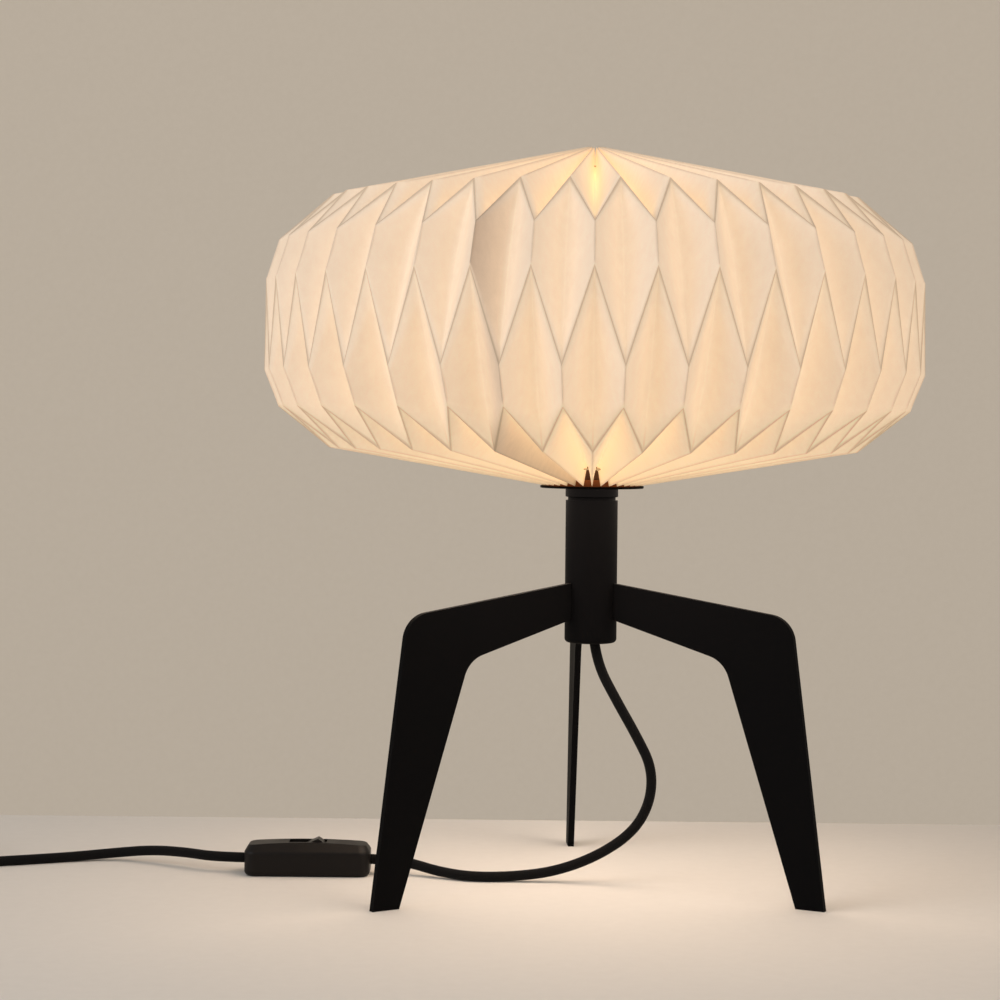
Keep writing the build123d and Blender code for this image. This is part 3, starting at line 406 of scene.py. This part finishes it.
PAPER_COLOUR = (0.80, 0.71, 0.625)
# Painted shade: the paper's base colour is darker where the glued overlap lets less of the bulb's light
# through.
LAP_SHADE_COLOUR = (0.62, 0.44, 0.33)   # where the glued overlap keeps the light back
# Painted shade: the paper's base colour turns brown along the creases, where the folds let less light
# through.
CREASE_SHADE_COLOUR = (0.46, 0.33, 0.2)
CREASE_SHADE = 0.42                  # how much a crease line darkens the paper
DIM_LIGHT = (0.98, 0.62, 0.3)
BRIGHT_LIGHT = (1.0, 0.75, 0.38)


def paper_material(name, dim=1.0):
    """Translucent paper, lit from inside: brighter where the bulb is near and square behind it.

    The strips carry their own measures: lat and fold are distances in millimetres to the nearest
    upright and slanting crease, sharp is 1 where the upright crease is an outward fold, glow is the
    light that comes through the sheet, and lap is the share of it that the glued overlap keeps back.
    """
    m = Material(name, Specular_IOR_Level=0.2)
    at = m.place()
    glow = m.attribute("glow")
    lat = m.attribute("lat")
    fold = m.attribute("fold")
    sharp = m.attribute("sharp")
    lap = m.attribute("lap")
    fibre = m.noise(at, 260.0, 5.0, 0.62, (1.0, 1.0, 0.55))
    cloud = m.noise(at, 34.0, 3.0)
    fleck = m.noise(at, 1200.0, 2.0)
    slant = fold.ramp(0.5, 2.5, 1.0, 0.0)
    upright = lat.ramp(0.3, 1.9, 1.0, 0.0) * sharp
    inward = lat.ramp(0.1, 1.3, 1.0, 0.0) * (1.0 - sharp)
    line = slant.max(upright * 0.55)
    mottle = (fibre - 0.5) * 0.13 + (cloud - 0.5) * 0.07 + (fleck - 0.5) * 0.05
    light = glow * (1.0 + mottle) * (1.0 + inward * 0.1) * (1.0 - line * CREASE_SHADE) * (1.0 - lap) * dim
    warm = m.mix(glow.ramp(0.3, 0.66), DIM_LIGHT, BRIGHT_LIGHT)
    # Painted shade in the base colour: brown along the creases and darker over the glued overlap.
    base = m.mix(line * CREASE_SHADE, m.mix(lap, PAPER_COLOUR, LAP_SHADE_COLOUR), CREASE_SHADE_COLOUR)
    m.set(Base_Color=m.scaled(base, (1.0 + mottle * 1.2) * (1.0 - lap * 0.3)))
    m.set(Emission_Color=m.scaled(warm, light), Emission_Strength=1.0)
    m.set(Roughness=0.82)
    m.bump(fibre * 0.6 + fleck * 0.3 - line * 0.5, 0.0002, 0.5)
    return m.material


def bulb_glass():
    """A lit bulb of opal glass."""
    m = Material("bulb_glass", Roughness=0.35, Emission_Strength=2.0)
    at = m.place()
    haze = m.noise(at, 60.0, 3.0)
    m.set(Base_Color=m.mix(haze, (0.9, 0.86, 0.78), (0.95, 0.92, 0.86)))
    m.set(Emission_Color=m.mix(haze * 0.3, (1.0, 0.78, 0.45), (1.0, 0.84, 0.58)))
    return m.material


def stage_material(name, colour, speck, scale, rough=0.9, depth=0.0002):
    """Plain matt surface with a fine grain."""
    m = Material(name, Roughness=rough, Specular_IOR_Level=0.3)
    at = m.place()
    grain = m.noise(at, scale, 4.0)
    m.set(Base_Color=m.mix(grain, colour, speck))
    m.bump(grain, depth, 0.5)
    return m.material


PAINT = black_paint()
# Painted lamplight: the black-painted gallery ring is coloured orange-brown for the bulb's light that falls
# on it inside the shade.
LAMPLIT_PAINT = moulded("black_paint_painted_lamplight", (0.18, 0.052, 0.011), (0.27, 0.08, 0.018), 0.5,
                      Specular_IOR_Level=0.25)
BROWN_PLASTIC = moulded("brown_plastic", (0.07, 0.026, 0.009), (0.12, 0.047, 0.018), 0.35)
PLASTIC = moulded("black_plastic", (0.005, 0.0042, 0.004), (0.01, 0.0085, 0.008), 0.45,
                  Specular_IOR_Level=0.2)
SWITCH_PLASTIC = moulded("switch_plastic", (0.0032, 0.0022, 0.0018), (0.0062, 0.0042, 0.0034), 0.42,
                         Specular_IOR_Level=0.2)
ROCKER_PLASTIC = moulded("rocker_plastic", (0.004, 0.003, 0.0028), (0.0075, 0.006, 0.0055), 0.32,
                         Specular_IOR_Level=0.22)
RUBBER = moulded("soft_black", (0.006, 0.006, 0.006), (0.012, 0.011, 0.011), 0.62, 900.0,
                 Specular_IOR_Level=0.25)
ZINC = metal("zinc", (0.42, 0.41, 0.38), (0.66, 0.66, 0.64), 0.34)
BRASS = metal("brass", (0.5, 0.34, 0.13), (0.78, 0.6, 0.29), 0.28)
NICKEL = metal("nickel", (0.55, 0.54, 0.5), (0.8, 0.79, 0.76), 0.2, True)
PORCELAIN = moulded("porcelain", (0.7, 0.67, 0.6), (0.82, 0.79, 0.73), 0.5, 700.0)
HOUSING = moulded("bulb_housing", (0.74, 0.73, 0.7), (0.84, 0.83, 0.8), 0.35)
CORE_WIRE = moulded("core_insulation", (0.16, 0.06, 0.025), (0.24, 0.1, 0.045), 0.4)
BRAID = braid()
THREAD = thread_material()
PAPER = paper_material("shade_paper")
PAPER_SEAM = paper_material("shade_seam", 0.8)
GLASS = bulb_glass()

NODE_MATERIALS = {
    PAINT: ["leg_left", "leg_right", "leg_rear", "stem_tube", "stem_cap", "stem_collar", "shade_disc"],
    LAMPLIT_PAINT: ["shade_gallery"],
    PLASTIC: ["cord_bush", "cord_grip", "plug_body", "plug_pin_sleeves", "coil_tie", "bulb_insulator"],
    BROWN_PLASTIC: ["holder_base", "holder_skirt"],
    SWITCH_PLASTIC: ["switch_lower", "switch_upper"],
    ROCKER_PLASTIC: ["switch_rocker"],
    RUBBER: ["plug_relief"],
    ZINC: ["grip_screw", "nipple", "nipple_nut", "lock_washer", "switch_pin", "switch_clamp_screws",
           "switch_case_screws", "switch_cord_clamps", "holder_terminal_screws"],
    BRASS: ["holder_tongue", "holder_shell", "switch_contacts", "switch_terminals", "switch_terminal_screws",
            "switch_wires", "bulb_contact"],
    NICKEL: ["plug_pins", "bulb_cap"],
    PORCELAIN: ["holder_core"],
    HOUSING: ["bulb_neck"],
    CORE_WIRE: ["lead_wires"],
    BRAID: ["cord_inner"],
    GLASS: ["bulb_glass"],
    THREAD: ["gather_thread_low", "gather_thread_top"],
}
for material, names in NODE_MATERIALS.items():
    for name in names:
        obj = NODES[name]
        if not obj.data.materials:
            obj.data.materials.append(material)
        for slot in obj.material_slots:
            slot.material = material

# ---------------------------------------------------------------- the cords


def make_cord(name, route, nodes):
    path = spline_path(name + "_line", route)
    obj = new_object(name, tube_mesh(name, path, CORD_R * MM), BRAID)
    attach(obj, "stem")
    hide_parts(*nodes)
    path_length(path)


make_cord("cord_to_switch", LAMP_ROUTE, ["cord_lamp"])
make_cord("cord_to_plug", MAINS_ROUTE + coil_route() + TAIL_ROUTE, ["cord_mains", "cord_coil", "cord_tail"])

# ---------------------------------------------------------------- the shade

# Lengths in millimetres. A row is (distance from the axis, height) of a crease corner, from the top.

PLEATS = 37
PAPER_T = 0.3
SEAM_STRIP = 69                  # the strip where the sheet's two ends overlap, counted from the front
EVEN_ROWS = [(7.0, 451.0), (162.4, 417.2), (199.8, 313.3), (191.0, 291.3), (29.2, 262.0)]
ODD_ROWS = [(5.2, 425.5), (192.2, 390.9), (199.8, 366.7), (161.0, 267.0), (30.8, 245.2)]
# For each of the four panels: 1 where the upright crease is a sharp outward fold, 0 where it is a soft
# inward one.
EVEN_FOLDS = [1, 0, 1, 0]
ODD_FOLDS = [0, 1, 0, 1]
ROW_STEPS = [18, 10, 5, 12]      # divisions of each of the four panels along a strip
TOP_CROWDING = 1.5               # the divisions crowd towards the gathered top and foot
FOOT_CROWDING = 1.4
ACROSS = [0.0, 0.02, 0.05, 0.1, 0.16, 0.24, 0.36, 0.5, 0.64, 0.76, 0.84, 0.9, 0.95, 0.98, 1.0]
BULB_MID = Vector((0.0, 0.0, 318.0))
BOW = 0.25                       # the paper bellies out this much between its creases
SOFT = 6.0                       # inward folds are rounded this far to each side
SOFT_RUN_OUT = 5                 # one over the share of a panel in which the rounding runs out
SOFT_LEAST = 0.08
WELD = 0.00002                   # metres, between one pleat's edge and the next
# Light at a point of the paper: a base, and what the bulb adds by distance and angle.
GLOW_BASE = 0.06
GLOW_DIRECT = 0.28
GLOW_FALL = 0.8
BULB_REACH = 175.0               # the distance at which the bulb's light counts as 1
ALL_ROUND = 0.45                 # share of that light that comes whatever the angle
SQUARE_ON = 0.55
INNER_FALL = 1.6
LAP_FALL = 0.7
# For each of the four panels: more light than the bulb's distance gives, more of it along the inward
# fold, the most that it may be, and how much the glued overlap keeps back along its outward fold.
GLOW_MORE = [0.035, 0.02, 0.055, 0.1]
GLOW_MOST = [0.5, 0.58, 0.58, 0.45]
GLOW_INNER = [0.18, 0.07, 0.05, 0.06]
LAP = [0.12, 0.56, 0.34, 0.5]


def on_line(rows, panel, t, angle):
    (r0, z0), (r1, z1) = rows[panel], rows[panel + 1]
    r, z = r0 + (r1 - r0) * t, z0 + (z1 - z0) * t
    return Vector((r * math.cos(angle), r * math.sin(angle), z))


def strip_rungs(even_angle, odd_angle):
    """Rungs across one strip from top to foot: (even end, odd end, panel, share of the panel)."""
    rungs = []
    for panel, steps in enumerate(ROW_STEPS):
        for i in range(steps if panel < 3 else steps + 1):
            t = i / steps
            if panel == 0:
                t = t ** TOP_CROWDING
            if panel == 3:
                t = 1 - (1 - t) ** FOOT_CROWDING
            even = on_line(EVEN_ROWS, panel, t, even_angle)
            odd = on_line(ODD_ROWS, panel, t, odd_angle)
            rungs.append((even, odd, panel, t))
    return rungs


def strip_grid(even_angle, odd_angle):
    """Points of one strip, each with what the paper's material reads: lat, fold, sharp, glow, lap."""
    rungs = strip_rungs(even_angle, odd_angle)
    rows = []
    for k, (even, odd, panel, t) in enumerate(rungs):
        before, after = rungs[max(k - 1, 0)], rungs[min(k + 1, len(rungs) - 1)]
        along = (before[0] + before[1]) - (after[0] + after[1])
        outward = along.cross(odd - even).normalized()
        if odd_angle > even_angle:
            outward = -outward
        width = (odd - even).length
        length = ((rungs_start(rungs, panel)[0] + rungs_start(rungs, panel)[1]) / 2
                  - (rungs_end(rungs, panel)[0] + rungs_end(rungs, panel)[1]) / 2).length
        if panel in (1, 2):
            bow = BOW * min(1.0, 4 * t * (1 - t))
        else:
            bow = BOW * 0.6 * min(1.0, 3 * t * (1 - t))
        row = []
        soft_even = 1 - EVEN_FOLDS[panel]
        crease = even if soft_even else odd
        radial = Vector((crease.x, crease.y, 0)).normalized()
        up = (after[0] - before[0]) if soft_even else (after[1] - before[1])
        tangent = Vector((-radial.y, radial.x, 0))
        # The inward fold is rounded away from the lamp's middle, and downwards at the foot.
        facing = up.cross(tangent).normalized()
        if facing.dot(radial) + facing.z * (1 if panel == 0 else 0) < 0 and panel < 3:
            facing = -facing
        if panel == 3 and facing.z > 0:
            facing = -facing
        strip = (odd - even) if soft_even else (even - odd)
        rise = strip.dot(facing)
        run = math.sqrt(max(strip.length_squared - rise * rise, 1e-9))
        reach = min(SOFT, run * 0.6) * soft_share(panel, t)
        for u in ACROSS:
            from_soft = (u if soft_even else 1 - u) * run
            lift = rise / run * (reach - from_soft) ** 2 / (2 * reach) if from_soft < reach else 0.0
            point = even.lerp(odd, u) + outward * (bow * math.sin(math.pi * u)) + facing * lift
            to_bulb = BULB_MID - point
            square = max(0.0, -outward.dot(to_bulb.normalized()))
            direct = (ALL_ROUND + SQUARE_ON * square) * (BULB_REACH / to_bulb.length) ** 2
            inner = (1 - u if soft_even else u)         # 1 on the inward fold, 0 on the outward one
            glow = (GLOW_BASE + GLOW_DIRECT * direct ** GLOW_FALL + GLOW_MORE[panel]
                    + GLOW_INNER[panel] * inner ** INNER_FALL)
            lap = LAP[panel] * (1 - inner) ** LAP_FALL
            fold = min(t, 1 - t) * length
            if panel == 0:
                fold = (1 - t) * length
            if panel == 3:
                fold = t * length
            near_even = u < 0.5
            folds = EVEN_FOLDS if near_even else ODD_FOLDS
            row.append((point, min(u, 1 - u) * width, fold, folds[panel], min(glow, GLOW_MOST[panel]), lap))
        rows.append(row)
    return rows


def soft_share(panel, t):
    """How much of the full rounding an inward fold has: it runs out towards the slanting creases."""
    from_top, from_foot = SOFT_RUN_OUT * t, SOFT_RUN_OUT * (1 - t)
    if panel == 0:
        return max(SOFT_LEAST, min(1.0, from_foot))
    if panel == 3:
        return max(SOFT_LEAST, min(1.0, from_top))
    return max(SOFT_LEAST, min(1.0, from_top, from_foot))


def rungs_start(rungs, panel):
    """The first rung of a panel."""
    return next(r for r in rungs if r[2] == panel)


def rungs_end(rungs, panel):
    """The rung on which a panel ends."""
    later = [r for r in rungs if r[2] == panel + 1]
    return later[0] if later else rungs[-1]


def add_facts(mesh, facts):
    """Stores each point's measures as the attributes that the paper's material reads."""
    for index, name in enumerate(("lat", "fold", "sharp", "glow", "lap")):
        layer = mesh.attributes.new(name, "FLOAT", "POINT")
        layer.data.foreach_set("value", [fact[index] for fact in facts])


def pleat_mesh():
    """One pleat: a strip down to the left crease and its mirror image, as a single sheet."""
    step = math.pi / PLEATS
    start = -math.pi / 2
    points, faces, facts = [], [], []
    for side in (0, 1):
        if side == 0:
            grid = strip_grid(start, start + step)
        else:
            grid = strip_grid(start + 2 * step, start + step)
        first = len(points)
        wide = len(ACROSS)
        for row in grid:
            for point, *fact in row:
                points.append(point * MM)
                facts.append(fact)
        for i in range(len(grid) - 1):
            for j in range(wide - 1):
                a = first + i * wide + j
                quad = (a, a + wide, a + wide + 1, a + 1)
                faces.append(quad if side == 0 else tuple(reversed(quad)))
    mesh = mesh_from("pleat", points, faces)
    add_facts(mesh, facts)
    return mesh


def pleat_tree():
    """Sets one pleat round the lamp's axis, joins the copies and gives the sheet its material."""
    tree = bpy.data.node_groups.new("pleats_round", "GeometryNodeTree")
    face = tree.interface
    face.new_socket("Geometry", in_out="INPUT", socket_type="NodeSocketGeometry")
    count = face.new_socket("Pleats", in_out="INPUT", socket_type="NodeSocketInt")
    weld = face.new_socket("Weld distance", in_out="INPUT", socket_type="NodeSocketFloat")
    finish = face.new_socket("Paper", in_out="INPUT", socket_type="NodeSocketMaterial")
    face.new_socket("Geometry", in_out="OUTPUT", socket_type="NodeSocketGeometry")
    nodes, links = tree.nodes, tree.links

    def add(kind, **props):
        node = nodes.new(kind)
        for key, value in props.items():
            setattr(node, key, value)
        return node

    given = add("NodeGroupInput")
    result = add("NodeGroupOutput")
    ring = add("GeometryNodePoints")
    links.new(given.outputs["Pleats"], ring.inputs["Count"])
    index = add("GeometryNodeInputIndex")
    share = add("ShaderNodeMath", operation="DIVIDE")
    links.new(index.outputs[0], share.inputs[0])
    links.new(given.outputs["Pleats"], share.inputs[1])
    angle = add("ShaderNodeMath", operation="MULTIPLY")
    links.new(share.outputs[0], angle.inputs[0])
    angle.inputs[1].default_value = 2 * math.pi
    turn = add("ShaderNodeCombineXYZ")
    links.new(angle.outputs[0], turn.inputs[2])
    copies = add("GeometryNodeInstanceOnPoints")
    links.new(ring.outputs[0], copies.inputs["Points"])
    links.new(given.outputs["Geometry"], copies.inputs["Instance"])
    links.new(turn.outputs[0], copies.inputs["Rotation"])
    whole = add("GeometryNodeRealizeInstances")
    links.new(copies.outputs[0], whole.inputs[0])
    joined = add("GeometryNodeMergeByDistance")
    links.new(whole.outputs[0], joined.inputs["Geometry"])
    links.new(given.outputs["Weld distance"], joined.inputs["Distance"])
    dressed = add("GeometryNodeSetMaterial")
    links.new(joined.outputs[0], dressed.inputs["Geometry"])
    links.new(given.outputs["Paper"], dressed.inputs["Material"])
    links.new(dressed.outputs[0], result.inputs[0])
    return tree, {"pleats": count.identifier, "weld": weld.identifier, "paper": finish.identifier}


def make_shade():
    source = new_object("pleat_source", pleat_mesh())
    tree, sockets = pleat_tree()
    modifier = source.modifiers.new("pleats", "NODES")
    modifier.node_group = tree
    modifier[sockets["pleats"]] = PLEATS
    modifier[sockets["weld"]] = WELD
    modifier[sockets["paper"]] = PAPER
    sheet = bpy.data.meshes.new_from_object(source.evaluated_get(bpy.context.evaluated_depsgraph_get()))
    sheet.name = "shade_folded_paper"
    for point, held in zip(sheet.vertices, sheet.attributes["lap"].data):
        place = (math.atan2(point.co.y, point.co.x) + math.pi / 2) * PLEATS / math.pi
        if not -0.01 < place % (2 * PLEATS) - SEAM_STRIP < 1.01:
            held.value = 0.0
    source.modifiers.clear()
    bpy.data.objects.remove(source)
    shade = new_object("shade_folded_paper", sheet)
    thick = shade.modifiers.new("thickness", "SOLIDIFY")
    thick.thickness = PAPER_T * MM
    thick.offset = 0.0
    thick.use_even_offset = False
    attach(shade, "shade")
    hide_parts("shade_paper")


make_shade()

# The glued overlap of the sheet's two ends, on the inside of one strip.
SEAM_EDGE = 0.12                 # how far it stays from the two creases, as a share of the strip
SEAM_IN = 0.45                   # how far its middle lies inside the strip's
SEAM_TOP = 0.32                  # it starts at this share of the top panel, and ends at that of the foot's
SEAM_FOOT = 0.88
SEAM_STEPS = 8                   # divisions across it
SEAM_READS = 6                   # the place in ACROSS whose light it takes
CLEAR_OF_CREASE = 5.0


def make_seam():
    step = math.pi / PLEATS
    odd_angle = SEAM_STRIP * step - math.pi / 2
    grid = strip_grid(odd_angle + step, odd_angle)
    rungs = strip_rungs(odd_angle + step, odd_angle)
    points, faces, facts = [], [], []
    kept = [k for k, (_, _, panel, t) in enumerate(rungs)
            if not (panel == 0 and t < SEAM_TOP) and not (panel == 3 and t > SEAM_FOOT)]
    shares = [SEAM_EDGE + (1 - 2 * SEAM_EDGE) * i / SEAM_STEPS for i in range(SEAM_STEPS + 1)]
    for k in kept:
        even, odd, _, _ = rungs[k]
        before, after = rungs[max(k - 1, 0)], rungs[min(k + 1, len(rungs) - 1)]
        inward = (odd - even).cross((before[0] + before[1]) - (after[0] + after[1])).normalized()
        _, _, fold, _, glow, _ = grid[k][SEAM_READS]
        for u in shares:
            points.append((even.lerp(odd, u) + inward * SEAM_IN) * MM)
            facts.append((CLEAR_OF_CREASE, fold, 0.0, glow, 0.0))
    wide = len(shares)
    for i in range(len(kept) - 1):
        for j in range(wide - 1):
            a = i * wide + j
            faces.append((a, a + 1, a + wide + 1, a + wide))
    mesh = mesh_from("shade_overlap", points, faces)
    add_facts(mesh, facts)
    seam = new_object("shade_overlap", mesh, PAPER_SEAM)
    thick = seam.modifiers.new("thickness", "SOLIDIFY")
    thick.thickness = PAPER_T * MM
    thick.offset = 0.0
    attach(seam, "shade")
    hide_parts("shade_seam")


make_seam()

# ---------------------------------------------------------------- stage and light

FLOOR = stage_material("floor_pale", (0.72, 0.685, 0.64), (0.76, 0.725, 0.68), 120.0)
WALL = stage_material("wall_pale", (0.83, 0.745, 0.63), (0.87, 0.785, 0.67), 90.0, 0.95, 0.0004)


def plane(name, corners, material):
    obj = new_object(name, mesh_from(name, corners, [(0, 1, 2, 3)], False), material)
    return obj


TABLE_EDGE = 0.238              # the table ends here behind the lamp, and the wall stands well beyond it
WALL_BEHIND = 3.0
STAGE_HALF = 4.0
ACROSS_VIEW = Vector((math.cos(CAMERA_YAW), math.sin(CAMERA_YAW), 0)) * STAGE_HALF
AHEAD = Vector((-math.sin(CAMERA_YAW), math.cos(CAMERA_YAW), 0))
UPWARD = Vector((0, 0, STAGE_HALF))
plane("floor", [AHEAD * -STAGE_HALF - ACROSS_VIEW, AHEAD * -STAGE_HALF + ACROSS_VIEW,
                AHEAD * TABLE_EDGE + ACROSS_VIEW, AHEAD * TABLE_EDGE - ACROSS_VIEW], FLOOR)
plane("wall", [AHEAD * WALL_BEHIND - ACROSS_VIEW - UPWARD, AHEAD * WALL_BEHIND + ACROSS_VIEW - UPWARD,
               AHEAD * WALL_BEHIND + ACROSS_VIEW + UPWARD, AHEAD * WALL_BEHIND - ACROSS_VIEW + UPWARD], WALL)


def area_light(name, at, target, size, watts, colour):
    data = bpy.data.lights.new(name, "AREA")
    data.shape = "DISK"
    data.size = size
    data.energy = watts
    data.color = colour
    obj = bpy.data.objects.new(name, data)
    way = Vector(target) - Vector(at)
    obj.matrix_world = Matrix.Translation(at) @ way.to_track_quat("-Z", "Y").to_matrix().to_4x4()
    scene.collection.objects.link(obj)
    return obj


lamp_light = area_light("light_under_shade", (0, 0, 0.243), (0, 0, 0), 0.27, 0.55, (1.0, 0.83, 0.70))
lamp_light.visible_camera = False
area_light("key", (-2.4, -1.4, 1.5), (0, 0, 0.25), 2.2, 26.0, (0.92, 0.96, 1.0))
area_light("fill", (2.2, -2.2, 1.6), (0, 0, 0.25), 2.4, 22.0, (1.0, 0.9, 0.78))

world = bpy.data.worlds.new("studio")
scene.world = world
world.use_nodes = True
world.node_tree.nodes["Background"].inputs[0].default_value = (0.98, 0.93, 0.88, 1.0)
world.node_tree.nodes["Background"].inputs[1].default_value = 0.45

scene.view_settings.view_transform = "Standard"
